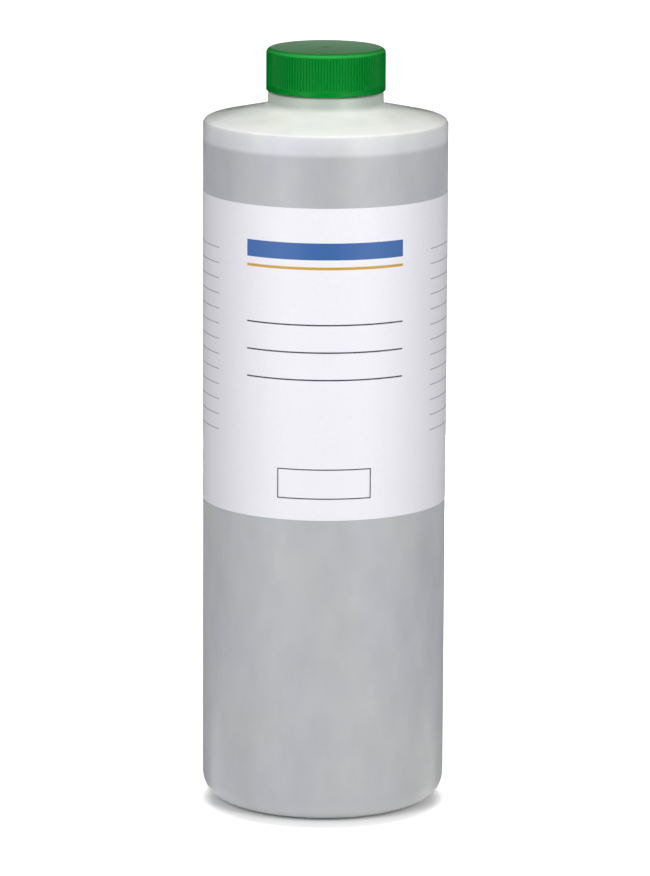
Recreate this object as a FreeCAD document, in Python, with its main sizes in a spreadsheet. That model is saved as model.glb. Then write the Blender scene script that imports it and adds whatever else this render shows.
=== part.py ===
import FreeCAD, Part

import math
import os
import re

import Sketcher

# Round one-litre solution bottle: a blow-moulded body, a ribbed screw cap with its two-ply liner,
# a paper wrap label and the solution inside. The base stands on z = 0, the axis is Z and the label
# faces -Y.

# Driving dimensions in millimetres, except where the name says degrees or count
DIMENSIONS = {
    "body_radius": 40.0,
    "wall": 1.2,
    "base_wall": 1.8,
    "standing_radius": 29.0,
    "heel_rise": 1.5,
    "heel_radius": 7.5,
    "inner_heel_bevel": 5.8,
    "ring_inner_radius": 27.0,
    "panel_radius": 24.0,
    "push_up": 2.6,
    "shoulder_height": 227.5,
    "shoulder_slope_degrees": 12.3,
    "shoulder_edge_bevel": 1.3,
    "neck_foot_bevel": 1.3,
    "collar_radius": 18.9,
    "collar_top": 236.3,
    "collar_bevel": 0.5,
    "finish_radius": 17.0,
    "bore_radius": 15.2,
    "mouth_height": 248.2,
    "lip_bevel": 0.4,
    "seam_half_length": 14.0,
    "seam_half_width": 0.4,
    "seam_bottom": 1.9,
    "seam_height": 1.2,
    "cap_radius": 19.5,
    "cap_bottom": 237.1,
    "cap_top": 251.0,
    "cap_panel": 1.4,
    "cap_edge_bevel": 1.0,
    "skirt_bore_radius": 18.45,
    "skirt_lead_in": 0.35,
    "liner_seat_radius": 18.5,
    "retainer_radius": 17.85,
    "retainer_bottom": 246.8,
    "retainer_land": 247.4,
    "retainer_top": 248.0,
    "rib_count": 120,
    "rib_depth": 0.35,
    "rib_groove_half_width": 0.28,
    "rib_overcut": 0.2,
    "rib_bottom": 238.8,
    "rib_top": 249.6,
    "liner_radius": 18.2,
    "facing_thickness": 0.2,
    "label_bottom": 102.0,
    "label_height": 102.3,
    "label_width": 203.2,
    "label_thickness": 0.15,
    "label_corner_radius": 3.0,
    "fill_height": 221.1,
}
SHEET = "Dimensions"
UP = FreeCAD.Vector(0, 0, 1)
TOUCH = 1e-4
SHARE_TOLERANCE = 0.01

doc = FreeCAD.newDocument("solution_bottle")
sheet = doc.addObject("Spreadsheet::Sheet", SHEET)
for row, (alias, value) in enumerate(DIMENSIONS.items(), 1):
    sheet.set(f"A{row}", alias)
    sheet.set(f"B{row}", str(value))
    sheet.setAlias(f"B{row}", alias)
doc.recompute()


def bound(text):
    """The expression with each driving dimension written as a cell of the sheet."""
    return re.sub(r"[a-z_]+", lambda word: with_sheet(word.group()), text)


def with_sheet(word):
    return f"{SHEET}.{word}" if word in DIMENSIONS else word


def size(text):
    """The value of an expression of driving dimensions."""
    return float(sheet.evalExpression(text))


def new_body(label):
    body = doc.addObject("PartDesign::Body", label)
    body.Label = label
    return body


def origin_feature(body, role):
    return next(part for part in body.Origin.OriginFeatures if part.Role == role)


def attached_sketch(body, name, role):
    sketch = body.newObject("Sketcher::SketchObject", name)
    sketch.AttachmentSupport = [(origin_feature(body, role), "")]
    sketch.MapMode = "FlatFace"
    return sketch


def bind(sketch, constraint, name, expression):
    """Add a constraint to the sketch, name it and drive it by the sheet."""
    index = sketch.addConstraint(constraint)
    sketch.renameConstraint(index, name)
    sketch.setExpression(f"Constraints.{name}", bound(expression))


def outline(body, name, role, corners):
    """Closed outline through corners given as expressions: across, up and, if rounded, a radius."""
    sketch = attached_sketch(body, name, role)
    places = [FreeCAD.Vector(size(across), size(up), 0) for across, up, *_ in corners]
    radii = [size(rounding[0]) if rounding else 0 for _, _, *rounding in corners]
    count = len(corners)
    arcs = [
        corner_arc(places[index - 1], places[index], places[(index + 1) % count], radii[index])
        for index in range(count)
    ]
    for index in range(count):
        leaves = arcs[index][1] if radii[index] else places[index]
        following = (index + 1) % count
        arrives = arcs[following][0] if radii[following] else places[following]
        sketch.addGeometry(Part.LineSegment(leaves, arrives))
    for index, (across, up, *rounding) in enumerate(corners):
        before = (index - 1) % count
        if rounding:
            vertex = rounded_corner(sketch, before, index, places[index], arcs[index])
            radius = Sketcher.Constraint("Radius", vertex[0] - 1, radii[index])
            bind(sketch, radius, f"Radius{index}", rounding[0])
        else:
            vertex = (index, 1)
            sketch.addConstraint(Sketcher.Constraint("Coincident", before, 2, index, 1))
        for kind, axis, expression in (("DistanceX", -2, across), ("DistanceY", -1, up)):
            if expression == "0":
                sketch.addConstraint(Sketcher.Constraint("PointOnObject", *vertex, axis))
            else:
                distance = Sketcher.Constraint(kind, -1, 1, *vertex, size(expression))
                bind(sketch, distance, f"{kind}{index}", expression)
    doc.recompute()
    return sketch


def corner_arc(before, corner, after, radius):
    """Where an arc of this radius leaves the first side and joins the second, and its centre."""
    backward = (before - corner).normalize()
    forward = (after - corner).normalize()
    half = backward.getAngle(forward) / 2
    setback = radius / math.tan(half)
    inward = (backward + forward).normalize() * (radius / math.sin(half))
    return corner + backward * setback, corner + forward * setback, corner + inward


def rounded_corner(sketch, before, after, corner, arc):
    """Add a tangent arc between two sides, and a point that holds the corner they would meet in."""
    first, second, centre = arc
    circle = Part.Circle(centre, UP, (first - centre).Length)
    turns_left = (first - centre).cross(second - centre).z > 0
    ends = (first, second) if turns_left else (second, first)
    side = sketch.addGeometry(Part.ArcOfCircle(circle, *map(circle.parameter, ends)))
    sketch.addConstraint(Sketcher.Constraint("Tangent", before, 2, side, 1 if turns_left else 2))
    sketch.addConstraint(Sketcher.Constraint("Tangent", after, 1, side, 2 if turns_left else 1))
    point = sketch.addGeometry(Part.Point(corner), True)
    sketch.addConstraint(Sketcher.Constraint("PointOnObject", point, 1, before))
    sketch.addConstraint(Sketcher.Constraint("PointOnObject", point, 1, after))
    return point, 1


def turned(body, name, kind, sketch):
    """Revolution or Groove of a section about the vertical axis."""
    feature = body.newObject(kind, name)
    feature.Profile = sketch
    feature.ReferenceAxis = (sketch, ["V_Axis"])
    feature.Angle = 360
    doc.recompute()
    return feature


# Corners of the cavity, which the body's groove and the solution share
INNER_RADIUS = "body_radius - wall"
CAVITY_FLOOR = [
    ("0", "push_up + base_wall"),
    ("panel_radius", "push_up + base_wall"),
    ("ring_inner_radius", "base_wall"),
    (f"{INNER_RADIUS} - inner_heel_bevel", "base_wall"),
    (INNER_RADIUS, "base_wall + inner_heel_bevel"),
]
# Height of the shoulder's outer and inner faces at a radius, along the slope
SHOULDER_EDGE = "(body_radius - shoulder_edge_bevel)"
NECK_FOOT = "(collar_radius + neck_foot_bevel)"
SLOPE = "tan(shoulder_slope_degrees * 1 deg)"
OUTER_SHOULDER = "shoulder_height + (body_radius - {radius}) * " + SLOPE
INNER_SHOULDER = OUTER_SHOULDER + " - wall / cos(shoulder_slope_degrees * 1 deg)"


def bottle_body():
    """Thin round shell with a recessed base panel, a sloped shoulder and a smooth neck finish."""
    body = new_body("bottle_body")
    outside = [
        ("0", "push_up"),
        ("panel_radius", "push_up"),
        ("ring_inner_radius", "0"),
        ("standing_radius", "0"),
        ("body_radius", "heel_rise", "heel_radius"),
        ("body_radius", "shoulder_height - shoulder_edge_bevel"),
        (SHOULDER_EDGE, OUTER_SHOULDER.format(radius=SHOULDER_EDGE)),
        (NECK_FOOT, OUTER_SHOULDER.format(radius=NECK_FOOT)),
        ("collar_radius", OUTER_SHOULDER.format(radius="collar_radius") + " + neck_foot_bevel"),
        ("collar_radius", "collar_top"),
        ("finish_radius", "collar_top + collar_bevel"),
        ("finish_radius", "mouth_height - lip_bevel"),
        ("finish_radius - lip_bevel", "mouth_height"),
        ("0", "mouth_height"),
    ]
    section = outline(body, "OutsideSection", "XZ_Plane", outside)
    full = turned(body, "Outside", "PartDesign::Revolution", section)

    inside = CAVITY_FLOOR + [
        (INNER_RADIUS, INNER_SHOULDER.format(radius=f"({INNER_RADIUS})")),
        ("bore_radius", INNER_SHOULDER.format(radius="bore_radius")),
        ("bore_radius", "mouth_height - lip_bevel"),
        ("bore_radius + lip_bevel", "mouth_height"),
        ("0", "mouth_height"),
    ]
    section = outline(body, "CavitySection", "XZ_Plane", inside)
    shell = turned(body, "Cavity", "PartDesign::Groove", section)
    if shell.Shape.Volume > full.Shape.Volume / 2:
        raise ValueError("the cavity isn't cut")

    seam_corners = [
        ("seam_half_length", "seam_half_width"),
        ("-seam_half_length", "seam_half_width"),
        ("-seam_half_length", "-seam_half_width"),
        ("seam_half_length", "-seam_half_width"),
    ]
    seam_plan = outline(body, "SeamPlan", "XY_Plane", seam_corners)
    seam_plan.setExpression("AttachmentOffset.Base.z", bound("seam_bottom"))
    seam = body.newObject("PartDesign::Pad", "PinchSeam")
    seam.Profile = seam_plan
    seam.setExpression("Length", bound("seam_height"))
    return body


def screw_cap():
    """Flat-topped cap with a ribbed skirt, a smooth foot band and a seat that holds the liner."""
    body = new_body("screw_cap")
    panel_under = "cap_top - cap_panel"
    section_corners = [
        ("0", "cap_top"),
        ("cap_radius - cap_edge_bevel", "cap_top"),
        ("cap_radius", "cap_top - cap_edge_bevel"),
        ("cap_radius", "cap_bottom"),
        ("skirt_bore_radius + skirt_lead_in", "cap_bottom"),
        ("skirt_bore_radius", "cap_bottom + 2 * skirt_lead_in"),
        ("skirt_bore_radius", "retainer_bottom"),
        ("retainer_radius", "retainer_land"),
        ("liner_seat_radius", "retainer_top"),
        ("liner_seat_radius", panel_under),
        ("0", panel_under),
    ]
    section = outline(body, "CapSection", "XZ_Plane", section_corners)
    plain = turned(body, "CapTurned", "PartDesign::Revolution", section)

    groove_corners = [
        ("cap_radius - rib_depth", "0"),
        ("cap_radius + rib_overcut", "rib_groove_half_width * (1 + rib_overcut / rib_depth)"),
        ("cap_radius + rib_overcut", "-rib_groove_half_width * (1 + rib_overcut / rib_depth)"),
    ]
    groove_plan = outline(body, "GroovePlan", "XY_Plane", groove_corners)
    groove_plan.setExpression("AttachmentOffset.Base.z", bound("rib_bottom"))
    groove = body.newObject("PartDesign::Pocket", "RibGroove")
    groove.Profile = groove_plan
    groove.Reversed = True
    groove.setExpression("Length", bound("rib_top - rib_bottom"))
    doc.recompute()
    one_groove = plain.Shape.Volume - groove.Shape.Volume
    if one_groove < TOUCH:
        raise ValueError("the rib groove isn't cut")
    ribs = body.newObject("PartDesign::PolarPattern", "Ribs")
    ribs.Originals = [groove]
    ribs.Axis = (origin_feature(body, "Z_Axis"), [""])
    ribs.Angle = 360
    ribs.setExpression("Occurrences", bound("rib_count"))
    body.Tip = ribs
    doc.recompute()
    share = (plain.Shape.Volume - ribs.Shape.Volume) / one_groove / size("rib_count")
    if abs(share - 1) > SHARE_TOLERANCE:
        raise ValueError("the rib grooves aren't all cut")
    return body


def liner_disc(label, bottom, top):
    """One ply of the liner: a disc between two heights."""
    body = new_body(label)
    corners = [("0", bottom), ("liner_radius", bottom), ("liner_radius", top), ("0", top)]
    section = outline(body, label + "_section", "XZ_Plane", corners)
    turned(body, label + "_disc", "PartDesign::Revolution", section)
    return body


def solution():
    """The liquid, which fills the cavity to its level."""
    body = new_body("solution")
    corners = CAVITY_FLOOR + [(INNER_RADIUS, "fill_height"), ("0", "fill_height")]
    section = outline(body, "SolutionSection", "XZ_Plane", corners)
    turned(body, "SolutionTurned", "PartDesign::Revolution", section)
    return body


def wrap_label():
    """Paper sheet round most of the body, with rounded corners and a bare strip at the back."""
    sweep = "label_width / (2 * pi * body_radius) * 360"
    start = f"90 + (360 - {sweep}) / 2"
    layers = []
    for name, radius in (("LabelFace", "body_radius + label_thickness"), ("LabelBack", "body_radius")):
        layer = doc.addObject("Part::Cylinder", name)
        layer.Placement.Rotation = FreeCAD.Rotation(UP, size(start))
        layer.setExpression("Radius", bound(radius))
        layer.setExpression("Height", bound("label_height"))
        layer.setExpression("Angle", bound(sweep))
        layer.setExpression("Placement.Base.z", bound("label_bottom"))
        layer.setExpression("Placement.Rotation.Angle", bound(start))
        layers.append(layer)
    sheet_wrap = doc.addObject("Part::Cut", "LabelSheet")
    sheet_wrap.Base, sheet_wrap.Tool = layers
    doc.recompute()
    label = doc.addObject("Part::Fillet", "wrap_label")
    label.Label = "wrap_label"
    label.Base = sheet_wrap
    corner = size("label_corner_radius")
    thickness = size("label_thickness")
    corner_edges = [
        number
        for number, edge in enumerate(sheet_wrap.Shape.Edges, 1)
        if isinstance(edge.Curve, Part.Line) and abs(edge.Length - thickness) < TOUCH
    ]
    label.Edges = [(number, corner, corner) for number in corner_edges]
    return label


sub_parts = [
    bottle_body(),
    screw_cap(),
    liner_disc("liner_facing", "mouth_height", "mouth_height + facing_thickness"),
    liner_disc("liner_backing", "mouth_height + facing_thickness", "cap_top - cap_panel"),
    wrap_label(),
    solution(),
]
doc.recompute()

for thing in doc.Objects:
    if "Invalid" in thing.State or "Error" in thing.State:
        raise ValueError(f"{thing.Label} failed: {thing.State}")
for part in sub_parts:
    if part.Shape.isNull() or not part.Shape.isValid() or len(part.Shape.Solids) != 1:
        raise ValueError(f"{part.Label} isn't one valid solid")

os.makedirs("parts", exist_ok=True)
for part in sub_parts:
    part.Shape.exportStep(f"parts/{part.Label}.step")
    print(f"{part.Label}: {part.Shape.Volume / 1000:.2f} cm3")
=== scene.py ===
"""Looks of a round one-litre solution bottle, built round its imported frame.

Each sub-assembly is a class that holds its sizes in metres, builds its meshes and dresses them. The
axis of the bottle is Z, it stands on z = 0 and the middle of its label faces -Y.
"""
import logging
import math
from abc import ABC, abstractmethod
from collections.abc import Sequence
from dataclasses import dataclass, field
from enum import Enum
from typing import ClassVar

import bmesh
import bpy
import numpy as np
from mathutils import Matrix, Vector


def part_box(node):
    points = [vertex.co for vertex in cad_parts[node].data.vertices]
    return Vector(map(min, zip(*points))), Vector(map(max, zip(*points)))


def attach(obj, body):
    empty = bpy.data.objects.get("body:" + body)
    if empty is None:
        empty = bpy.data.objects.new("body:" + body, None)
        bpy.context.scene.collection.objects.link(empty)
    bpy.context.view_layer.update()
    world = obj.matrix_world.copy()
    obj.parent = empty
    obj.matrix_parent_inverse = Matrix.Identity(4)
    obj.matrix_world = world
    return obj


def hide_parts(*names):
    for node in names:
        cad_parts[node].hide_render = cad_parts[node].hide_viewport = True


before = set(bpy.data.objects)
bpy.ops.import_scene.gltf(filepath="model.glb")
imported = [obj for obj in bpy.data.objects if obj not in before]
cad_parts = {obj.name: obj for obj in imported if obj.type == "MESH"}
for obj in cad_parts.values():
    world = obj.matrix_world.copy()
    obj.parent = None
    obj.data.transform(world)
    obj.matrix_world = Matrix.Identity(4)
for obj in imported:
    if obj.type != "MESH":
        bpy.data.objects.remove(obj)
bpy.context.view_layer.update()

LOG = logging.getLogger("solution_bottle")
MM = 0.001
TURN = 2 * math.pi

# Six threads to the inch, on the neck and in the cap
LEAD = 25.4 / 6 * MM

# How finely sections are divided, and where an edge stays sharp
ARC_STEP = math.radians(9)
EDGE_HOLD = 0.35 * MM
THREAD_STEP = 0.25 * MM
SHARP_ANGLE = math.radians(38)
ON_AXIS = 1e-7

# Make-up of every noise field, and the phase of a wave texture over a unit of length
CLOUDY = {"Detail": 3.0, "Roughness": 0.55}
WAVE_PACE = 20


class Body(Enum):
    """Bodies of the frame that pieces ride on."""

    BOTTLE = "bottle"
    LINER = "cap_liner"
    CAP = "cap"


class Ink(Enum):
    """Printing inks of the label, and its bare paper, as sRGB hex values."""

    BLUE = "#2c5c9c"
    AMBER = "#c79a35"
    BLACK = "#2a2b30"
    GREY = "#a3a5b0"
    PAPER = "#f0eff5"


def linear(hex_code: str) -> tuple[float, float, float, float]:
    """Turn an sRGB colour into a linear one.

    Args:
        hex_code: Colour as "#rrggbb".

    Returns:
        Linear red, green, blue and an alpha of 1.
    """
    shares = [int(hex_code[start:start + 2], 16) / 255 for start in (1, 3, 5)]
    red, green, blue = (s / 12.92 if s <= 0.04045 else ((s + 0.055) / 1.055) ** 2.4 for s in shares)
    return red, green, blue, 1.0


def add_node(
    tree: bpy.types.NodeTree, kind: str, inputs: dict[str | int, object] | None = None, **settings: object
) -> bpy.types.Node:
    """Add a shader node with its settings and links.

    Args:
        tree: Node tree that takes the node.
        kind: Blender's name for the type of node, after "ShaderNode".
        inputs: For each input's name or number, its value, or the socket or node to link from. A node
            stands for the first of its outputs that is in use.
        settings: Attributes of the node.

    Returns:
        The new node.
    """
    node = tree.nodes.new("ShaderNode" + kind)
    for name, value in settings.items():
        setattr(node, name, value)
    for key, value in (inputs or {}).items():
        if isinstance(value, bpy.types.Node):
            value = next(socket for socket in value.outputs if socket.enabled)
        if isinstance(value, bpy.types.NodeSocket):
            tree.links.new(value, node.inputs[key])
        else:
            node.inputs[key].default_value = value
    return node


def smooth_step(share: np.ndarray) -> np.ndarray:
    """Ease shares from 0 to 1, clipped at both ends."""
    kept = np.clip(share, 0.0, 1.0)
    return kept * kept * (3 - 2 * kept)


def evenly(count: int) -> np.ndarray:
    """Angles of evenly spaced columns."""
    return np.arange(count) * TURN / count


@dataclass(frozen=True)
class Corner:
    """Corner of a turned section: place, rounding and the step along the run that leaves it."""

    radius: float
    height: float
    rounding: float = 0.0
    step: float = 12 * MM


def rounded_corner(before: Vector, corner: Vector, after: Vector, rounding: float) -> list[Vector]:
    """Points of the arc that rounds a corner.

    Args:
        before: Corner before this one.
        corner: The corner itself.
        after: Corner after this one.
        rounding: Radius of the arc.

    Returns:
        Points from the first tangent point to the second.
    """
    back = (before - corner).normalized()
    ahead = (after - corner).normalized()
    half = back.angle(ahead) / 2
    centre = corner + (back + ahead).normalized() * (rounding / math.sin(half))
    arm = corner + back * (rounding / math.tan(half)) - centre
    sweep = math.copysign(math.pi - 2 * half, back.cross(ahead))
    count = max(2, math.ceil(abs(sweep) / ARC_STEP))
    return [centre + Matrix.Rotation(-sweep * k / count, 2) @ arm for k in range(count + 1)]


def section_line(corners: Sequence[Corner]) -> np.ndarray:
    """Line of a turned section, with arcs at its corners and divided runs between them.

    Args:
        corners: Corners in order.

    Returns:
        Rows of radius and height.
    """
    places = [Vector((corner.radius, corner.height)) for corner in corners]
    points: list[Vector] = []
    for index, corner in enumerate(corners):
        arc = [places[index]]
        if corner.rounding:
            arc = rounded_corner(places[index - 1], places[index], places[index + 1], corner.rounding)
        if points:
            run = arc[0] - points[-1]
            held = run.length - 2 * EDGE_HOLD
            if held > EDGE_HOLD:
                start = points[-1] + run.normalized() * EDGE_HOLD
                count = math.ceil(held / corners[index - 1].step)
                points += [start + run.normalized() * (held * k / count) for k in range(count + 1)]
        points += arc
    return np.array([tuple(point) for point in points])


def put_up(name: str, data: bpy.types.ID) -> bpy.types.Object:
    """Make an object and put it in the scene.

    Args:
        name: Name of the object.
        data: Its mesh, light or camera.

    Returns:
        The new object.
    """
    made = bpy.data.objects.new(name, data)
    bpy.context.scene.collection.objects.link(made)
    return made


def finish_mesh(name: str, mesh: bpy.types.Mesh) -> bpy.types.Object:
    """Turn a closed mesh's faces outward, smooth it and put it in the scene.

    Args:
        name: Name of the piece.
        mesh: Its mesh.

    Returns:
        The new object.
    """
    shell = bmesh.new()
    shell.from_mesh(mesh)
    bmesh.ops.recalc_face_normals(shell, faces=shell.faces)
    shell.to_mesh(mesh)
    shell.free()
    mesh.shade_smooth()
    mesh.set_sharp_from_angle(angle=SHARP_ANGLE)
    return put_up(name, mesh)


class TurnedSurface:
    """Section turned about Z, as a grid of radii and heights that relief can be added to."""

    def __init__(self, line: np.ndarray, angles: np.ndarray) -> None:
        """Turn a section.

        Args:
            line: Rows of radius and height, which may start and end on the axis.
            angles: Angles of the columns, in radians.
        """
        self.angle = np.broadcast_to(angles, (len(line), len(angles)))
        self.radius = np.repeat(line[:, :1], len(angles), axis=1)
        self.height = np.repeat(line[:, 1:], len(angles), axis=1)

    def rows(self, chosen: slice) -> tuple[np.ndarray, np.ndarray, np.ndarray]:
        """Radii, heights and angles of some rows of the grid."""
        return self.radius[chosen], self.height[chosen], self.angle[chosen]

    def piece(self, name: str) -> bpy.types.Object:
        """Build the surface as a piece.

        Args:
            name: Name of the piece.

        Returns:
            The new object.
        """
        columns = self.angle.shape[1]
        vertices: list[tuple[float, float, float]] = []
        rings: list[list[int]] = []
        for radius, height, angle in zip(self.radius, self.height, self.angle):
            first = len(vertices)
            if radius.max() < ON_AXIS:
                vertices.append((0.0, 0.0, float(height.mean())))
                rings.append([first] * columns)
            else:
                ring = np.stack([radius * np.cos(angle), radius * np.sin(angle), height], axis=1)
                vertices += ring.tolist()
                rings.append(list(range(first, first + columns)))
        faces = []
        for lower, upper in zip(rings, rings[1:]):
            for here in range(columns):
                there = (here + 1) % columns
                loop = (lower[here], lower[there], upper[there], upper[here])
                faces.append(tuple(dict.fromkeys(loop)))
        mesh = bpy.data.meshes.new(name)
        mesh.from_pydata(vertices, [], faces)
        return finish_mesh(name, mesh)


@dataclass(frozen=True)
class Thread:
    """Right-hand helical ridge: its turns, the height of its lower end's middle, and its section.

    The run-out at each end is a share of a turn.
    """

    turns: float
    start_height: float
    foot_width: float
    crest_width: float
    depth: float
    run_out: float = 0.09

    def rise(self, angle: np.ndarray, height: np.ndarray) -> np.ndarray:
        """Radial rise of the ridge.

        Args:
            angle: Angles round the axis.
            height: Heights along it.

        Returns:
            Rise at each place.
        """
        turn = angle / TURN
        above = (height - self.start_height) / LEAD
        along = turn + np.round(above - turn)
        offset = np.abs(above - along) * LEAD
        flank = (self.foot_width / 2 - offset) / ((self.foot_width - self.crest_width) / 2)
        ends = np.minimum(along, self.turns - along) / self.run_out
        return self.depth * smooth_step(flank) * smooth_step(ends)


def new_tree(name: str) -> tuple[bpy.types.Material, bpy.types.NodeTree]:
    """Make an empty node material.

    Args:
        name: Name of the material.

    Returns:
        The material and its node tree.
    """
    material = bpy.data.materials.new(name)
    material.use_nodes = True
    material.node_tree.nodes.clear()
    return material, material.node_tree


class Finish(ABC):
    """Finish of a piece, which fills in the sockets of one principled shader."""

    name: ClassVar[str]

    @abstractmethod
    def sockets(self, tree: bpy.types.NodeTree) -> dict[str, object]:
        """Add the nodes of the finish.

        Args:
            tree: Node tree that takes them.

        Returns:
            Value, or what to link from, for each of the shader's inputs.
        """

    def build(self) -> bpy.types.Material:
        """Make the material.

        Returns:
            The material, named for what it is and how it was made.
        """
        material, tree = new_tree(self.name)
        surface = add_node(tree, "BsdfPrincipled", self.sockets(tree))
        add_node(tree, "OutputMaterial", {"Surface": surface})
        return material


@dataclass(frozen=True)
class Tone:
    """Colour that a wall takes on at a height, and half the height over which it fades in."""

    colour: str
    start: float
    fade: float


@dataclass(frozen=True)
class NaturalPolyethylene(Finish):
    """Natural high-density polyethylene, blow-moulded against a blasted mould.

    Unpigmented HDPE scatters light in the wall, so it is milky and soft-edged with a waxy sheen. Where
    the solution wets the inside less light comes back, and the wall reads greyer up to the fill level.
    The foot is painted paler, as painted light from the floor beneath it. A painted highlight runs
    along the crease at the shoulder's edge, the shoulder's top is painted paler as painted light from
    above, and the air above the liquid grows paler towards it. The neck is painted greyer and greener,
    as painted shade and green cast from the cap.
    """

    name: ClassVar[str] = "natural_hdpe_blow_moulded"
    fill_height: float
    shoulder_height: float
    neck_shade_start: float
    # Painted light: the foot is paler, as if lit by the floor beneath it
    foot: str = "#e8e9e9"
    wetted: str = "#c3c4c7"
    dry: str = "#dedfe2"
    upper: str = "#e4e5e7"
    # Painted highlight along the crease at the shoulder's edge
    crease_highlight: str = "#fefefb"
    # Painted light: the shoulder's top is paler, as if lit from above
    shoulder: str = "#f8faf4"
    # Painted shade and green cast from the cap on the neck
    neck: str = "#c3ccc5"
    cool: str = "#fafbff"
    warm: str = "#fffffc"
    patch: float = 26 * MM
    patch_range: tuple[float, float] = (0.36, 0.64)
    thin: str = "#ebebec"
    thin_most: float = 0.5
    streak: float = 9 * MM
    streak_range: tuple[float, float] = (0.35, 0.75)
    upright_scale: float = 0.6
    roughness: tuple[float, float] = (0.38, 0.46)
    scatter: float = 1.0
    ior: float = 1.54
    # Blasted grain is about 0.1 mm wide, which is too fine to show, so it is drawn coarser
    grain: float = 0.6 * MM
    grain_depth: float = 0.03 * MM
    grain_strength: float = 0.25

    def tones(self) -> tuple[Tone, ...]:
        """Tones of the wall above its foot, some of them painted light and shade.

        Returns:
            The tones, from the lowest up.
        """
        return (
            Tone(self.wetted, start=4.5 * MM, fade=4 * MM),
            Tone(self.dry, start=self.fill_height, fade=1 * MM),
            Tone(self.upper, start=self.fill_height + 3.5 * MM, fade=2.5 * MM),
            # Painted highlight along the crease
            Tone(self.crease_highlight, start=self.shoulder_height - 0.3 * MM, fade=0.3 * MM),
            # Painted light on the shoulder's top
            Tone(self.shoulder, start=self.shoulder_height + 1.2 * MM, fade=1 * MM),
            # Painted shade of the cap on the neck
            Tone(self.neck, start=self.neck_shade_start, fade=1.4 * MM),
        )

    def sockets(self, tree: bpy.types.NodeTree) -> dict[str, object]:
        """Add tones by height, faint patches and streaks of wall thickness, and the mould's grain.

        Args:
            tree: Node tree that takes them.

        Returns:
            Value, or what to link from, for each of the shader's inputs.
        """
        place = add_node(tree, "TexCoord").outputs["Object"]
        height = add_node(tree, "SeparateXYZ", {"Vector": place}).outputs["Z"]
        # The pale foot is painted light from the floor
        colour: object = linear(self.foot)
        for tone in self.tones():
            reach = {"Value": height, "From Min": tone.start - tone.fade, "From Max": tone.start + tone.fade}
            reached = add_node(tree, "MapRange", reach, interpolation_type="SMOOTHSTEP")
            meeting = {"Factor": reached, "A": colour, "B": linear(tone.colour)}
            colour = add_node(tree, "Mix", meeting, data_type="RGBA")
        upright = add_node(tree, "Mapping", {"Vector": place, "Scale": (1.0, 1.0, self.upright_scale)})
        patches = add_node(tree, "TexNoise", {"Vector": upright, "Scale": 1 / self.patch, **CLOUDY})
        low, high = self.patch_range
        warmth = add_node(tree, "MapRange", {"Value": patches, "From Min": low, "From Max": high})
        tints = {"Factor": warmth, "A": linear(self.cool), "B": linear(self.warm)}
        tint = add_node(tree, "Mix", tints, data_type="RGBA")
        streaks = add_node(tree, "TexNoise", {"Vector": upright, "Scale": 1 / self.streak, **CLOUDY})
        low, high = self.streak_range
        thinning = {"Value": streaks, "From Min": low, "From Max": high, "To Max": self.thin_most}
        thinned = add_node(tree, "MapRange", thinning)
        for share, layer in ((1.0, tint), (thinned, linear(self.thin))):
            layers = {"Factor": share, "A": colour, "B": layer}
            colour = add_node(tree, "Mix", layers, data_type="RGBA", blend_type="MULTIPLY")
        low, high = self.roughness
        gloss = add_node(tree, "MapRange", {"Value": patches, "To Min": low, "To Max": high})
        grain = add_node(tree, "TexNoise", {"Vector": place, "Scale": 1 / self.grain, **CLOUDY})
        relief = {"Height": grain, "Strength": self.grain_strength, "Distance": self.grain_depth}
        return {
            "Base Color": colour,
            "Roughness": gloss,
            "IOR": self.ior,
            "Diffuse Roughness": self.scatter,
            "Normal": add_node(tree, "Bump", relief),
        }


@dataclass(frozen=True)
class GreenPolypropylene(Finish):
    """Green-pigmented polypropylene, injection-moulded in a spark-eroded tool.

    Masterbatch gives an even deep green, and the fine eroded texture spreads reflections to a satin.
    A brighter green is painted on the round of the top edge as its highlight.
    """

    name: ClassVar[str] = "green_polypropylene_moulded"
    edge_highlight_height: float
    edge_reach: float = 0.9 * MM
    pigment: str = "#00872e"
    streak: str = "#007e29"
    # Painted highlight on the round of the top edge
    lit_edge: str = "#30b149"
    flow: float = 9 * MM
    roughness: tuple[float, float] = (0.24, 0.36)
    ior: float = 1.49
    specular: float = 0.07
    # Eroded pits are under 0.1 mm wide, which is too fine to show, so they are drawn a pixel wide
    pit: float = 0.35 * MM
    pit_depth: float = 0.02 * MM
    pit_strength: float = 0.3

    def sockets(self, tree: bpy.types.NodeTree) -> dict[str, object]:
        """Add the green with its faint flow streaks, the top edge's painted highlight and the eroded pits.

        Args:
            tree: Node tree that takes them.

        Returns:
            Value, or what to link from, for each of the shader's inputs.
        """
        place = add_node(tree, "TexCoord").outputs["Object"]
        flow = add_node(tree, "TexNoise", {"Vector": place, "Scale": 1 / self.flow, **CLOUDY})
        greens = {"Factor": flow, "A": linear(self.pigment), "B": linear(self.streak)}
        green = add_node(tree, "Mix", greens, data_type="RGBA")
        height = add_node(tree, "SeparateXYZ", {"Vector": place}).outputs["Z"]
        # Painted highlight along the round of the top edge, fading out over its reach
        above = add_node(tree, "Math", {0: height, 1: self.edge_highlight_height}, operation="SUBTRACT")
        away = add_node(tree, "Math", {0: above}, operation="ABSOLUTE")
        reach = {"Value": away, "From Min": self.edge_reach, "From Max": 0.0}
        near = add_node(tree, "MapRange", reach, interpolation_type="SMOOTHSTEP")
        edge = {"Factor": near, "A": green, "B": linear(self.lit_edge)}
        pits = add_node(tree, "TexNoise", {"Vector": place, "Scale": 1 / self.pit, **CLOUDY})
        low, high = self.roughness
        gloss = add_node(tree, "MapRange", {"Value": pits, "To Min": low, "To Max": high})
        relief = {"Height": pits, "Strength": self.pit_strength, "Distance": self.pit_depth}
        return {
            "Base Color": add_node(tree, "Mix", edge, data_type="RGBA"),
            "Roughness": gloss,
            "IOR": self.ior,
            "Specular IOR Level": self.specular,
            "Normal": add_node(tree, "Bump", relief),
        }


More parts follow.
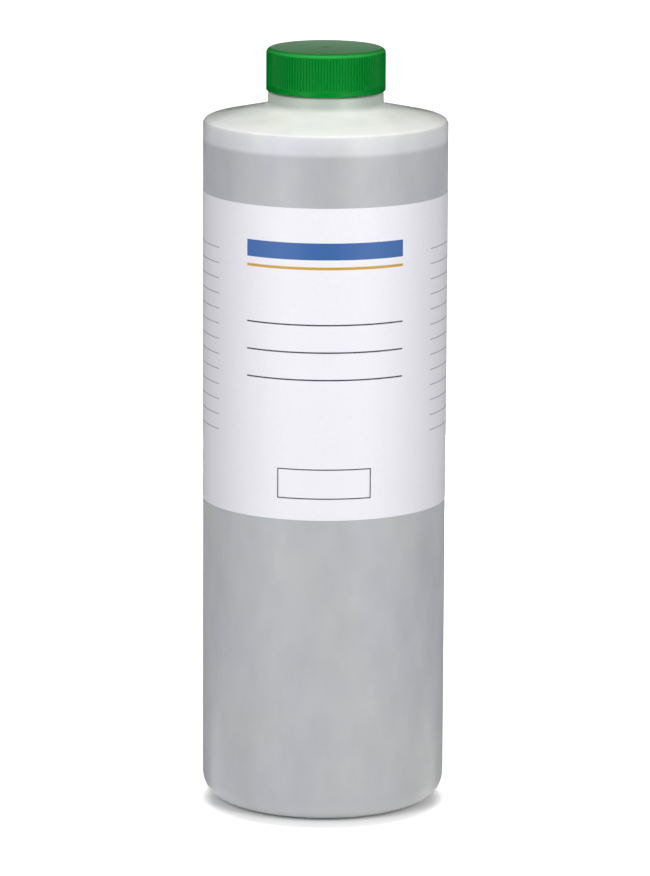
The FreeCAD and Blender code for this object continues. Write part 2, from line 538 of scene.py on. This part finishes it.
@dataclass(frozen=True)
class FoamedPolyethylene(Finish):
    """White foamed polyethylene sheet, die-cut.

    Closed cells show as a fine pebbled surface with soft shading.
    """

    name: ClassVar[str] = "foamed_polyethylene_die_cut"
    white: str = "#ecebe6"
    cell_wall: str = "#d9d8d2"
    cell: float = 0.45 * MM
    cell_depth: float = 0.08 * MM
    cell_strength: float = 0.5
    roughness: float = 0.7
    ior: float = 1.5

    def sockets(self, tree: bpy.types.NodeTree) -> dict[str, object]:
        """Add the cells.

        Args:
            tree: Node tree that takes them.

        Returns:
            Value, or what to link from, for each of the shader's inputs.
        """
        place = add_node(tree, "TexCoord").outputs["Object"]
        cells = add_node(tree, "TexVoronoi", {"Vector": place, "Scale": 1 / self.cell})
        whites = {"Factor": cells, "A": linear(self.white), "B": linear(self.cell_wall)}
        relief = {"Height": cells, "Strength": self.cell_strength, "Distance": self.cell_depth}
        return {
            "Base Color": add_node(tree, "Mix", whites, data_type="RGBA"),
            "Roughness": self.roughness,
            "IOR": self.ior,
            "Normal": add_node(tree, "Bump", relief),
        }


@dataclass(frozen=True)
class BarrierFilm(Finish):
    """Cast barrier film, laminated to the liner.

    A smooth white film with a clear gloss and faint draw lines from the casting roll.
    """

    name: ClassVar[str] = "barrier_film_cast"
    white: str = "#f0f1f2"
    line: str = "#e3e5e8"
    draw_line: float = 1.6 * MM
    waviness: float = 2.0
    roughness: float = 0.22
    ior: float = 1.5

    def sockets(self, tree: bpy.types.NodeTree) -> dict[str, object]:
        """Add the draw lines.

        Args:
            tree: Node tree that takes them.

        Returns:
            Value, or what to link from, for each of the shader's inputs.
        """
        place = add_node(tree, "TexCoord").outputs["Object"]
        scale = TURN / (WAVE_PACE * self.draw_line)
        waves = add_node(tree, "TexWave", {"Vector": place, "Scale": scale, "Distortion": self.waviness})
        whites = {"Factor": waves.outputs["Fac"], "A": linear(self.white), "B": linear(self.line)}
        return {
            "Base Color": add_node(tree, "Mix", whites, data_type="RGBA"),
            "Roughness": self.roughness,
            "IOR": self.ior,
        }


@dataclass(frozen=True)
class PrintMark:
    """Printed rectangle: centre and size along the wrap and up it, in metres, and its ink."""

    across: float
    up: float
    width: float
    height: float
    ink: Ink


@dataclass(frozen=True)
class CoatedPaper(Finish):
    """Clay-coated white paper, offset-printed and varnished.

    The coating is bright with a faintly cool tint, the varnish gives a soft sheen, and the fibre under
    it shows as a very slight unevenness.
    """

    name: ClassVar[str] = "coated_paper_printed"
    radius: float
    marks: tuple[PrintMark, ...]
    white: str = "#f3f2f8"
    fibre_shade: str = "#ecebf2"
    roughness: float = 0.5
    ior: float = 1.5
    # Single fibres are about 0.03 mm wide, which is too fine to show, so their clumps are drawn
    fibre: float = 1.1 * MM
    fibre_depth: float = 0.02 * MM
    fibre_strength: float = 0.15

    def sockets(self, tree: bpy.types.NodeTree) -> dict[str, object]:
        """Add the paper with its fibre, and print the marks on it.

        Args:
            tree: Node tree that takes them.

        Returns:
            Value, or what to link from, for each of the shader's inputs.
        """
        place = add_node(tree, "TexCoord").outputs["Object"]
        axes = add_node(tree, "SeparateXYZ", {"Vector": place}).outputs
        toward = add_node(tree, "Math", {0: axes["Y"], 1: -1.0}, operation="MULTIPLY")
        turn = add_node(tree, "Math", {0: axes["X"], 1: toward}, operation="ARCTAN2")
        across = add_node(tree, "Math", {0: turn, 1: self.radius}, operation="MULTIPLY")
        fibre = add_node(tree, "TexNoise", {"Vector": place, "Scale": 1 / self.fibre, **CLOUDY})
        whites = {"Factor": fibre, "A": linear(self.white), "B": linear(self.fibre_shade)}
        colour = add_node(tree, "Mix", whites, data_type="RGBA")
        for mark in self.marks:
            wide = {0: across, 1: mark.across, 2: mark.width / 2}
            high = {0: axes["Z"], 1: mark.up, 2: mark.height / 2}
            within = [add_node(tree, "Math", span, operation="COMPARE") for span in (wide, high)]
            inside = add_node(tree, "Math", dict(enumerate(within)), operation="MULTIPLY")
            printed = {"Factor": inside, "A": colour, "B": linear(mark.ink.value)}
            colour = add_node(tree, "Mix", printed, data_type="RGBA")
        relief = {"Height": fibre, "Strength": self.fibre_strength, "Distance": self.fibre_depth}
        return {
            "Base Color": colour,
            "Roughness": self.roughness,
            "IOR": self.ior,
            "Normal": add_node(tree, "Bump", relief),
        }


@dataclass(frozen=True)
class ClearSolution(Finish):
    """Clear aqueous solution, standing still.

    Water-clear with a flat, mirror-smooth level.
    """

    name: ClassVar[str] = "aqueous_solution_clear"
    tint: str = "#f6f9fb"
    roughness: float = 0.02
    ior: float = 1.34
    clarity: float = 1.0

    def sockets(self, tree: bpy.types.NodeTree) -> dict[str, object]:
        """Add no nodes, because the liquid is the same all through.

        Args:
            tree: Node tree that stays as it is.

        Returns:
            Value for each of the shader's inputs.
        """
        return {
            "Base Color": linear(self.tint),
            "Roughness": self.roughness,
            "IOR": self.ior,
            "Transmission Weight": self.clarity,
        }


def fit(piece: bpy.types.Object, material: bpy.types.Material, body: Body, node: str) -> None:
    """Dress a piece and fit it to the frame.

    Args:
        piece: The piece, in place.
        material: Its material.
        body: Body that it rides on.
        node: Node that it stands for.
    """
    piece.data.materials.append(material)
    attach(piece, body.value)
    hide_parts(node)
    LOG.info("%s: %d faces, for %s on %s", piece.name, len(piece.data.polygons), node, body.value)


@dataclass
class BottleShell:
    """Blow-moulded body: recessed base, round wall, sloped shoulder, collar and threaded neck."""

    wall: float = 1.2 * MM
    base_wall: float = 1.8 * MM
    standing: float = 29 * MM
    standing_rounding: float = 2 * MM
    heel_rise: float = 1.5 * MM
    heel: float = 7.5 * MM
    ring_inner: float = 27 * MM
    ring_rounding: float = 1.2 * MM
    panel: float = 24 * MM
    panel_rounding: float = 1.5 * MM
    panel_step: float = 2 * MM
    push_up: float = 2.6 * MM
    shoulder_height: float = 227.5 * MM
    shoulder_slope: float = math.radians(12.3)
    shoulder_rounding: float = 1.6 * MM
    inner_shoulder_rounding: float = 1.5 * MM
    neck_foot: float = 2 * MM
    collar: float = 18.9 * MM
    collar_top: float = 236.5 * MM
    collar_rise: float = 0.3 * MM
    collar_rounding: float = 0.4 * MM
    finish: float = 17.0 * MM
    bore: float = 15.2 * MM
    mouth_rounding: float = 0.5 * MM
    columns: int = 288
    seam_half_length: float = 14 * MM
    seam_half_width: float = 0.5 * MM
    seam_depth: float = 0.7 * MM
    parting_rise: float = 0.07 * MM
    parting_half_width: float = 0.35 * MM
    parting_columns: int = 7
    parting_clearance: float = 0.525 * MM
    relief_fade: float = 1 * MM
    thread: Thread = Thread(
        turns=1.5,
        start_height=239.45 * MM,
        foot_width=2.4 * MM,
        crest_width=0.7 * MM,
        depth=1.2 * MM,
    )
    radius: float = field(init=False)
    mouth: float = field(init=False)

    def __post_init__(self) -> None:
        """Take the outer sizes from the frame."""
        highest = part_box("bottle_body")[1]
        self.radius, self.mouth = highest.x, highest.z

    def shoulder_at(self, radius: float) -> float:
        """Height of the shoulder's outer face at a radius."""
        return self.shoulder_height + (self.radius - radius) * math.tan(self.shoulder_slope)

    def neck_shade_start(self) -> float:
        """Height, within the rounding at its foot, where the cap's painted shade on the neck begins."""
        return self.shoulder_at(self.collar) + self.neck_foot / 4

    def outside(self) -> np.ndarray:
        """Outer line of the section, from the middle of the base to the mouth's inner edge.

        Returns:
            Rows of radius and height.
        """
        thread_foot = self.collar_top + self.collar_rise
        return section_line([
            Corner(0.0, self.push_up, step=self.panel_step),
            Corner(self.panel, self.push_up, rounding=self.panel_rounding),
            Corner(self.ring_inner, 0.0, rounding=self.ring_rounding),
            Corner(self.standing, 0.0, rounding=self.standing_rounding),
            Corner(self.radius, self.heel_rise, rounding=self.heel),
            Corner(self.radius, self.shoulder_height, rounding=self.shoulder_rounding),
            Corner(self.collar, self.shoulder_at(self.collar), rounding=self.neck_foot),
            Corner(self.collar, self.collar_top, rounding=self.collar_rounding),
            Corner(self.finish, thread_foot, rounding=self.collar_rounding, step=THREAD_STEP),
            Corner(self.finish, self.mouth, rounding=self.mouth_rounding),
            Corner(self.bore, self.mouth),
        ])

    def inside(self) -> np.ndarray:
        """Inner line of the section, from below the mouth's inner edge to the middle of the base.

        Returns:
            Rows of radius and height.
        """
        inner = self.radius - self.wall
        drop = self.wall / math.cos(self.shoulder_slope)
        floor_height = self.push_up + self.base_wall
        return section_line([
            Corner(self.bore, self.mouth),
            Corner(self.bore, self.shoulder_at(self.bore) - drop, rounding=self.neck_foot),
            Corner(inner, self.shoulder_at(inner) - drop, rounding=self.inner_shoulder_rounding),
            Corner(inner, self.base_wall, rounding=self.heel - self.wall),
            Corner(self.ring_inner, self.base_wall, rounding=self.ring_rounding),
            Corner(self.panel, floor_height, rounding=self.panel_rounding),
            Corner(0.0, floor_height),
        ])[1:]

    def angles(self) -> np.ndarray:
        """Angles of even columns, with close ones in their place along the two parting lines.

        Returns:
            Angles in rising order.
        """
        beside = np.linspace(-1, 1, self.parting_columns) * self.parting_half_width / self.radius
        sides = np.concatenate([side + beside for side in (0.0, math.pi)])
        even = evenly(self.columns)
        away = np.abs(np.sin(even)) > math.sin(self.parting_clearance / self.radius)
        return np.sort(np.concatenate([even[away], sides % TURN]))

    def build(self, finish: NaturalPolyethylene) -> None:
        """Build the shell with its thread, parting lines and pinch seam, and dress it.

        Args:
            finish: Finish of its wall.
        """
        outside = self.outside()
        surface = TurnedSurface(np.concatenate([outside, self.inside()]), self.angles())
        face = slice(0, len(outside))
        radius, height, angle = surface.rows(face)
        from_parting = np.abs(np.sin(angle)) * np.maximum(radius, self.bore)
        parting = self.parting_rise * smooth_step(1 - from_parting / self.parting_half_width)
        above_collar = smooth_step((height - self.collar_top) / self.relief_fade)
        on_neck = above_collar * (radius > (self.finish + self.bore) / 2)
        rise = on_neck * self.thread.rise(angle, height) + parting * (radius > self.ring_inner)
        seam_side = smooth_step(1 - np.abs(radius * np.sin(angle)) / self.seam_half_width)
        seam_end = smooth_step((self.seam_half_length - radius) / self.relief_fade)
        surface.radius[face] = radius + rise
        surface.height[face] = height - self.seam_depth * seam_side * seam_end
        fit(surface.piece("bottle_shell"), finish.build(), Body.BOTTLE, "bottle_body")


@dataclass
class ScrewCap:
    """Ribbed cap with a smooth foot band, a threaded skirt and a seat for the liner."""

    panel: float = 1.4 * MM
    edge: float = 1.75 * MM
    foot_rounding: float = 0.3 * MM
    skirt_bore: float = 18.45 * MM
    lead_in: float = 0.35 * MM
    liner_seat: float = 18.5 * MM
    bead: float = 17.85 * MM
    bead_height: float = 247.4 * MM
    bead_half_width: float = 0.6 * MM
    bead_rounding: float = 0.25 * MM
    ribs: int = 120
    columns_per_rib: int = 6
    rib_depth: float = 0.35 * MM
    rib_drop: float = 1.05 * MM
    rib_run_out: float = 0.5 * MM
    rib_step: float = 0.5 * MM
    foot_band: float = 1.7 * MM
    gate_radius: float = 1.3 * MM
    gate_depth: float = 0.15 * MM
    gate_fade: float = 0.4 * MM
    gate_step: float = 0.3 * MM
    top_step: float = 5 * MM
    thread: Thread = Thread(
        turns=1.3,
        start_height=239.3 * MM,
        foot_width=2.2 * MM,
        crest_width=0.6 * MM,
        depth=-1.1 * MM,
    )
    radius: float = field(init=False)
    bottom: float = field(init=False)
    top: float = field(init=False)

    def __post_init__(self) -> None:
        """Take the outer sizes from the frame."""
        lowest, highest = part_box("screw_cap")
        self.radius, self.bottom, self.top = highest.x, lowest.z, highest.z

    def edge_highlight_height(self) -> float:
        """Height of the middle of the highlight painted on the rounded top edge."""
        return self.top - self.edge / 3

    def outside(self) -> np.ndarray:
        """Outer line of the section, from the middle of the top to the skirt's foot.

        Returns:
            Rows of radius and height.
        """
        return section_line([
            Corner(0.0, self.top, step=self.gate_step),
            Corner(2 * self.gate_radius, self.top, step=self.top_step),
            Corner(self.radius, self.top, rounding=self.edge, step=self.rib_step),
            Corner(self.radius, self.bottom, rounding=self.foot_rounding),
            Corner(self.skirt_bore + self.lead_in, self.bottom),
        ])

    def inside(self) -> np.ndarray:
        """Inner line of the section, from above the skirt's foot to the middle of the panel.

        Returns:
            Rows of radius and height.
        """
        under = self.top - self.panel
        return section_line([
            Corner(self.skirt_bore + self.lead_in, self.bottom),
            Corner(self.skirt_bore, self.bottom + 2 * self.lead_in, step=THREAD_STEP),
            Corner(self.skirt_bore, self.bead_height - self.bead_half_width),
            Corner(self.bead, self.bead_height, rounding=self.bead_rounding),
            Corner(self.liner_seat, self.bead_height + self.bead_half_width),
            Corner(self.liner_seat, under),
            Corner(0.0, under),
        ])[1:]

    def build(self, finish: GreenPolypropylene) -> None:
        """Build the cap with its ribs, gate mark and thread, and dress it.

        Args:
            finish: Finish of the cap.
        """
        outside = self.outside()
        columns = evenly(self.ribs * self.columns_per_rib)
        surface = TurnedSurface(np.concatenate([outside, self.inside()]), columns)
        face = slice(0, len(outside))
        back = slice(len(outside), None)
        radius, height, angle = surface.rows(face)
        valley = 1 - np.abs(np.cos(self.ribs / 2 * angle))
        above_band = (height - self.bottom - self.foot_band) / self.rib_run_out
        below_edge = (self.top - self.rib_drop - height) / self.rib_run_out
        ribbed = smooth_step(np.minimum(above_band, below_edge)) * (radius > self.radius - self.edge)
        dimple = self.gate_depth * smooth_step((self.gate_radius - radius) / self.gate_fade)
        surface.radius[face] = radius - self.rib_depth * valley * ribbed
        surface.height[face] = height - dimple
        radius, height, angle = surface.rows(back)
        in_skirt = radius > self.skirt_bore - ON_AXIS
        below_bead = height < self.bead_height - self.bead_half_width
        surface.radius[back] = radius + self.thread.rise(angle, height) * in_skirt * below_bead
        fit(surface.piece("ribbed_cap"), finish.build(), Body.CAP, "screw_cap")


@dataclass
class CapLiner:
    """Two-ply liner: a foam backing, and a film facing that the mouth has pressed a ring into."""

    columns: int = 128
    step: float = 0.6 * MM
    edge: float = 0.08 * MM
    ring_radius: float = 16.1 * MM
    ring_half_width: float = 0.9 * MM
    ring_depth: float = 0.06 * MM

    def disc(self, name: str, node: str, facing: bool) -> bpy.types.Object:
        """Build one ply.

        Args:
            name: Name of the piece.
            node: Node that it stands for.
            facing: Whether it is the ply that meets the mouth.

        Returns:
            The new object.
        """
        lowest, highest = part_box(node)
        line = section_line([
            Corner(0.0, lowest.z, step=self.step),
            Corner(highest.x, lowest.z, rounding=self.edge),
            Corner(highest.x, highest.z, rounding=self.edge),
            Corner(0.0, highest.z),
        ])
        surface = TurnedSurface(line, evenly(self.columns))
        if facing:
            from_ring = np.abs(surface.radius - self.ring_radius) / self.ring_half_width
            below = surface.height < (lowest.z + highest.z) / 2
            surface.height += self.ring_depth * smooth_step(2 - 2 * from_ring) * below
        return surface.piece(name)

    def build(self, backing: FoamedPolyethylene, facing: BarrierFilm) -> None:
        """Build both plies and dress them.

        Args:
            backing: Finish of the foam ply.
            facing: Finish of the film ply.
        """
        foam = self.disc("liner_foam_disc", "liner_backing", False)
        fit(foam, backing.build(), Body.LINER, "liner_backing")
        film = self.disc("liner_film_disc", "liner_facing", True)
        fit(film, facing.build(), Body.LINER, "liner_facing")


@dataclass
class WrapLabel:
    """Paper label round most of the wall, with rounded corners and a plain write-on layout.

    The layout has a colour band over a thin line, rules for a name, an empty box, and ruled lines for
    notes at both sides.
    """

    width: float = 203.2 * MM
    corner: float = 3 * MM
    glue: float = 0.02 * MM
    columns: int = 160
    rows: int = 24
    corner_columns: int = 7
    panel_width: float = 54 * MM
    band: float = 5.5 * MM
    band_drop: float = 14 * MM
    band_line: float = 0.9 * MM
    name_rules: int = 3
    name_drop: float = 24 * MM
    name_pitch: float = 9 * MM
    name_line: float = 0.5 * MM
    box_width: float = 31 * MM
    box_height: float = 10 * MM
    box_rise: float = 12 * MM
    box_line: float = 0.4 * MM
    note_rules: int = 13
    note_drop: float = 16 * MM
    note_pitch: float = 5 * MM
    note_line: float = 0.3 * MM
    note_start: float = 41 * MM
    note_width: float = 34 * MM
    radius: float = field(init=False)
    face: float = field(init=False)
    bottom: float = field(init=False)
    top: float = field(init=False)

    def __post_init__(self) -> None:
        """Take the place of the label from the frame."""
        lowest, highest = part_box("wrap_label")
        self.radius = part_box("bottle_body")[1].x
        self.face = highest.x
        self.bottom, self.top = lowest.z, highest.z

    def marks(self) -> tuple[PrintMark, ...]:
        """Lay out the printed rectangles.

        Returns:
            The marks, in the order of printing.
        """
        band_up = self.top - self.band_drop
        found = [
            PrintMark(0.0, band_up, self.panel_width, self.band, Ink.BLUE),
            PrintMark(0.0, band_up - self.band, self.panel_width, self.band_line, Ink.AMBER),
        ]
        for rule in range(self.name_rules):
            up = band_up - self.name_drop - rule * self.name_pitch
            found.append(PrintMark(0.0, up, self.panel_width, self.name_line, Ink.BLACK))
        box_up = self.bottom + self.box_rise
        clear_width, clear_height = (size - 2 * self.box_line for size in (self.box_width, self.box_height))
        found += [
            PrintMark(0.0, box_up, self.box_width, self.box_height, Ink.BLACK),
            PrintMark(0.0, box_up, clear_width, clear_height, Ink.PAPER),
        ]
        note_across = self.note_start + self.note_width / 2
        for across in (-note_across, note_across):
            for rule in range(self.note_rules):
                up = self.top - self.note_drop - rule * self.note_pitch
                found.append(PrintMark(across, up, self.note_width, self.note_line, Ink.GREY))
        return tuple(found)

    def outline(self) -> list[tuple[float, float, float]]:
        """Outline of the flat sheet, column by column.

        Returns:
            Each column's place along the wrap, and its lowest and highest point.
        """
        half = self.width / 2
        arc = np.linspace(0, math.pi / 2, self.corner_columns)
        ends = half - self.corner + self.corner * np.sin(arc)
        inset = self.corner - self.corner * np.cos(arc)
        middle = np.linspace(-half + self.corner, half - self.corner, self.columns)[1:-1]
        across = np.concatenate([-ends[::-1], middle, ends])
        trim = np.concatenate([inset[::-1], np.zeros(len(middle)), inset])
        return [(place, self.bottom + cut, self.top - cut) for place, cut in zip(across, trim)]

    def build(self) -> None:
        """Build the label as a front, a back and a rim, and dress it."""
        columns = self.outline()
        shares = np.linspace(0, 1, self.rows + 1)
        vertices: list[tuple[float, float, float]] = []
        for radius in (self.face, self.radius + self.glue):
            for place, lowest, highest in columns:
                turn = place / self.radius
                x, y = radius * math.sin(turn), -radius * math.cos(turn)
                vertices += [(x, y, lowest + share * (highest - lowest)) for share in shares]
        tall = len(shares)
        layer = tall * len(columns)
        faces = []
        for column in range(len(columns) - 1):
            for row in range(self.rows):
                corner = column * tall + row
                front = (corner, corner + tall, corner + tall + 1, corner + 1)
                faces += [front, tuple(layer + index for index in reversed(front))]
        rim = [column * tall for column in range(len(columns))]
        rim += [layer - tall + row for row in range(1, tall)]
        rim += [column * tall + self.rows for column in range(len(columns) - 2, -1, -1)]
        rim += range(tall - 2, 0, -1)
        for here, there in zip(rim, rim[1:] + rim[:1]):
            faces.append((here, there, there + layer, here + layer))
        mesh = bpy.data.meshes.new("paper_label")
        mesh.from_pydata(vertices, [], faces)
        paper = CoatedPaper(self.radius, self.marks())
        piece = finish_mesh("paper_label", mesh)
        fit(piece, paper.build(), Body.BOTTLE, "wrap_label")


@dataclass
class SolutionFill:
    """The liquid, which follows the inside of the shell up to its level."""

    shell: BottleShell
    gap: float = 0.05 * MM
    columns: int = 128

    def build(self, finish: ClearSolution) -> None:
        """Build the liquid and dress it.

        Args:
            finish: Finish of the liquid.
        """
        shell = self.shell
        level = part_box("solution")[1].z
        inner = shell.radius - shell.wall - self.gap
        bottom = shell.base_wall + self.gap
        middle = bottom + shell.push_up
        line = section_line([
            Corner(0.0, middle),
            Corner(shell.panel, middle, rounding=shell.panel_rounding),
            Corner(shell.ring_inner, bottom, rounding=shell.ring_rounding),
            Corner(inner, bottom, rounding=shell.heel - shell.wall),
            Corner(inner, level),
            Corner(0.0, level),
        ])
        piece = TurnedSurface(line, evenly(self.columns)).piece("clear_liquid")
        fit(piece, finish.build(), Body.BOTTLE, "solution")


@dataclass(frozen=True)
class Softbox:
    """Rectangular soft light that faces the bottle: its place in degrees and metres, and its size.

    The level is how bright a white card at the bottle that faces the light would look.
    """

    name: str
    level: float
    azimuth: float
    elevation: float
    distance: float
    size: tuple[float, float]
    mirrored: bool = True

    def build(self, aim: tuple[float, float, float]) -> None:
        """Add the light to the scene.

        Args:
            aim: Point that it faces.
        """
        lamp = bpy.data.lights.new(self.name, "AREA")
        lamp.shape = "RECTANGLE"
        lamp.size, lamp.size_y = self.size
        lamp.energy = self.level * (math.pi * self.distance) ** 2
        light = put_up(self.name, lamp)
        light.visible_camera = False
        light.visible_glossy = self.mirrored
        turned = Matrix.Rotation(math.radians(self.azimuth), 4, "Z")
        tipped = Matrix.Rotation(math.radians(90 - self.elevation), 4, "X")
        away = Matrix.Translation((0.0, 0.0, self.distance))
        light.matrix_world = Matrix.Translation(aim) @ turned @ tipped @ away


@dataclass(frozen=True)
class FillLight(Softbox):
    """Soft light that reflections don't show."""

    mirrored: bool = False


@dataclass(frozen=True)
class Flag:
    """Upright black card that keeps white out of the reflections, and may also shade.

    It has the two ends of its foot, the heights of its lower and upper edge, and its lean in X.
    """

    name: str
    start: tuple[float, float]
    end: tuple[float, float]
    bottom: float = 0.0
    top: float = 0.6
    lean: float = 0.0
    shades: bool = False

    def build(self, black: bpy.types.Material) -> None:
        """Put up the card, where the camera doesn't show it.

        Args:
            black: Material of the card.
        """
        mesh = bpy.data.meshes.new(self.name)
        lower = [(x, y, self.bottom) for x, y in (self.start, self.end)]
        upper = [(x + self.lean, y, self.top) for x, y in (self.end, self.start)]
        mesh.from_pydata(lower + upper, [], [(0, 1, 2, 3)])
        mesh.materials.append(black)
        card = put_up(self.name, mesh)
        card.visible_camera = False
        card.visible_diffuse = self.shades
        card.visible_transmission = False
        card.visible_shadow = self.shades


@dataclass
class Studio:
    """White floor and surround, soft lights, black cards and the camera, in metres and degrees.

    Where it is seen, the floor glows white from the glow's start outward. Nearer to the bottle it is
    only lit, and keeps the shadow. What it lights, it lights as a mid grey.
    """

    floor_half: float = 20.0
    floor_pale: str = "#969696"
    # Over 1, so that the lit floor shows white up to the shadow
    floor_seen: tuple[float, float, float, float] = (1.2, 1.2, 1.2, 1.0)
    glow_middle: tuple[float, float, float] = (0.0, -6 * MM, 0.0)
    glow_start: float = 36 * MM
    glow_full: float = 46 * MM
    surround: str = "#ffffff"
    ambient: float = 0.2
    aim: tuple[float, float, float] = (0.0, 0.0, 0.125)
    softboxes: tuple[Softbox, ...] = (
        Softbox("softbox_left", level=0.575, azimuth=-38, elevation=15, distance=1.3, size=(0.4, 1.2)),
        Softbox("softbox_right", level=0.575, azimuth=38, elevation=15, distance=1.3, size=(0.4, 1.2)),
        Softbox("softbox_above", level=0.12, azimuth=0, elevation=70, distance=1.5, size=(1.0, 1.0)),
        FillLight("fill_left", level=0.08, azimuth=-78, elevation=12, distance=1.5, size=(0.8, 0.8)),
        FillLight("fill_right", level=0.11, azimuth=78, elevation=12, distance=1.5, size=(0.8, 0.8)),
        FillLight("fill_back", level=0.58, azimuth=180, elevation=-3, distance=0.6, size=(0.2, 0.15)),
    )
    card_black: str = "#0c0c0c"
    flags: tuple[Flag, ...] = (
        # Beside the wall and far in front, they keep white out of its sheen
        Flag("flag_left", start=(-0.042, -0.01), end=(-0.042, 0.06), lean=-0.05),
        Flag("flag_right", start=(0.042, -0.01), end=(0.042, 0.06), lean=0.05),
        Flag("flag_front", start=(-0.25, -0.6), end=(0.25, -0.6)),
        # Close in front, it keeps the softboxes out of the cap's flat top as seen from behind
        Flag("flag_cap", start=(-0.15, -0.05), end=(0.15, -0.05), bottom=0.2515, top=0.3),
        # Behind, they leave one slot of white for the cap's flat top to mirror
        Flag("flag_back", start=(-0.4, 0.06), end=(0.4, 0.06), top=0.252),
        Flag("flag_back_left", start=(-0.4, 0.06), end=(-0.024, 0.06), bottom=0.252),
        Flag("flag_back_right", start=(0.024, 0.06), end=(0.4, 0.06), bottom=0.252),
        Flag("flag_back_top", start=(-0.024, 0.06), end=(0.024, 0.06), bottom=0.262),
        # Beside the shoulder, they shade its two ends
        Flag("shade_left", start=(-0.056, -0.034), end=(-0.056, 0.045), bottom=0.233, shades=True),
        Flag("shade_right", start=(0.056, -0.03), end=(0.056, 0.045), bottom=0.233, shades=True),
    )
    camera_place: tuple[float, float, float] = (0.00026, -1.799, 0.494)
    camera_pitch: float = 11.71
    camera_roll: float = 0.28
    lens: float = 228.7
    sensor: float = 36.0
    view_reach: float = 100.0

    def seen_directly(self, tree: bpy.types.NodeTree) -> bpy.types.Node:
        """Tell rays that show a surface from those that only light by it.

        Args:
            tree: Node tree that takes the nodes.

        Returns:
            Node that gives 1 for camera, glossy and transmission rays.
        """
        rays = add_node(tree, "LightPath").outputs
        glossy = {0: rays["Is Camera Ray"], 1: rays["Is Glossy Ray"]}
        either = add_node(tree, "Math", glossy, operation="MAXIMUM")
        return add_node(tree, "Math", {0: either, 1: rays["Is Transmission Ray"]}, operation="MAXIMUM")

    def build_floor(self) -> None:
        """Lay a pale matt floor that shows white and keeps the shadow."""
        half = self.floor_half
        mesh = bpy.data.meshes.new("floor")
        corners = [(-half, -half, 0.0), (half, -half, 0.0), (half, half, 0.0), (-half, half, 0.0)]
        mesh.from_pydata(corners, [], [(0, 1, 2, 3)])
        material, tree = new_tree("matt_white_floor")
        place = add_node(tree, "TexCoord").outputs["Object"]
        away = add_node(tree, "VectorMath", {0: place, 1: self.glow_middle}, operation="DISTANCE")
        reach = {"Value": away, "From Min": self.glow_start, "From Max": self.glow_full}
        glow = add_node(tree, "MapRange", reach, interpolation_type="SMOOTHSTEP")
        white = add_node(tree, "Emission", {"Strength": glow})
        lit = add_node(tree, "BsdfDiffuse", {"Color": self.floor_seen})
        shown = add_node(tree, "AddShader", {0: white, 1: lit})
        pale = add_node(tree, "BsdfDiffuse", {"Color": linear(self.floor_pale)})
        look = add_node(tree, "MixShader", {0: self.seen_directly(tree), 1: pale, 2: shown})
        add_node(tree, "OutputMaterial", {"Surface": look})
        mesh.materials.append(material)
        floor = put_up("floor", mesh)

    def build_world(self) -> None:
        """Give even light from all round, which shows white."""
        world = bpy.data.worlds.new("studio")
        world.use_nodes = True
        tree = world.node_tree
        tree.nodes.clear()
        strength = add_node(tree, "MapRange", {"Value": self.seen_directly(tree), "To Min": self.ambient})
        light = add_node(tree, "Background", {"Color": linear(self.surround), "Strength": strength})
        add_node(tree, "OutputWorld", {"Surface": light})
        bpy.context.scene.world = world

    def build_flags(self) -> None:
        """Put up the cards, which share one material."""
        material, tree = new_tree("black_card")
        black = add_node(tree, "BsdfDiffuse", {"Color": linear(self.card_black)})
        add_node(tree, "OutputMaterial", {"Surface": black})
        for flag in self.flags:
            flag.build(material)

    def build_camera(self) -> None:
        """Set up the camera at the photograph's place."""
        lens = bpy.data.cameras.new("camera")
        lens.lens = self.lens
        lens.sensor_width = self.sensor
        lens.clip_end = self.view_reach
        camera = put_up("camera", lens)
        down = Matrix.Rotation(math.radians(90 - self.camera_pitch), 4, "X")
        rolled = Matrix.Rotation(math.radians(self.camera_roll), 4, "Z")
        camera.matrix_world = Matrix.Translation(self.camera_place) @ down @ rolled
        bpy.context.scene.camera = camera

    def build(self) -> None:
        """Build the floor, the lights, the cards and the camera."""
        self.build_floor()
        self.build_world()
        for softbox in self.softboxes:
            softbox.build(self.aim)
        self.build_flags()
        self.build_camera()
        bpy.context.scene.view_settings.view_transform = "Standard"


def main() -> None:
    """Build the studio and the bottle, and log each piece's faces."""
    logging.basicConfig(level=logging.INFO, format="%(name)s: %(message)s")
    Studio().build()
    shell = BottleShell()
    shell.build(NaturalPolyethylene(
        fill_height=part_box("solution")[1].z,
        shoulder_height=shell.shoulder_height,
        neck_shade_start=shell.neck_shade_start(),
    ))
    cap = ScrewCap()
    cap.build(GreenPolypropylene(edge_highlight_height=cap.edge_highlight_height()))
    CapLiner().build(FoamedPolyethylene(), BarrierFilm())
    WrapLabel().build()
    SolutionFill(shell).build(ClearSolution())


if __name__ == "__main__":
    main()
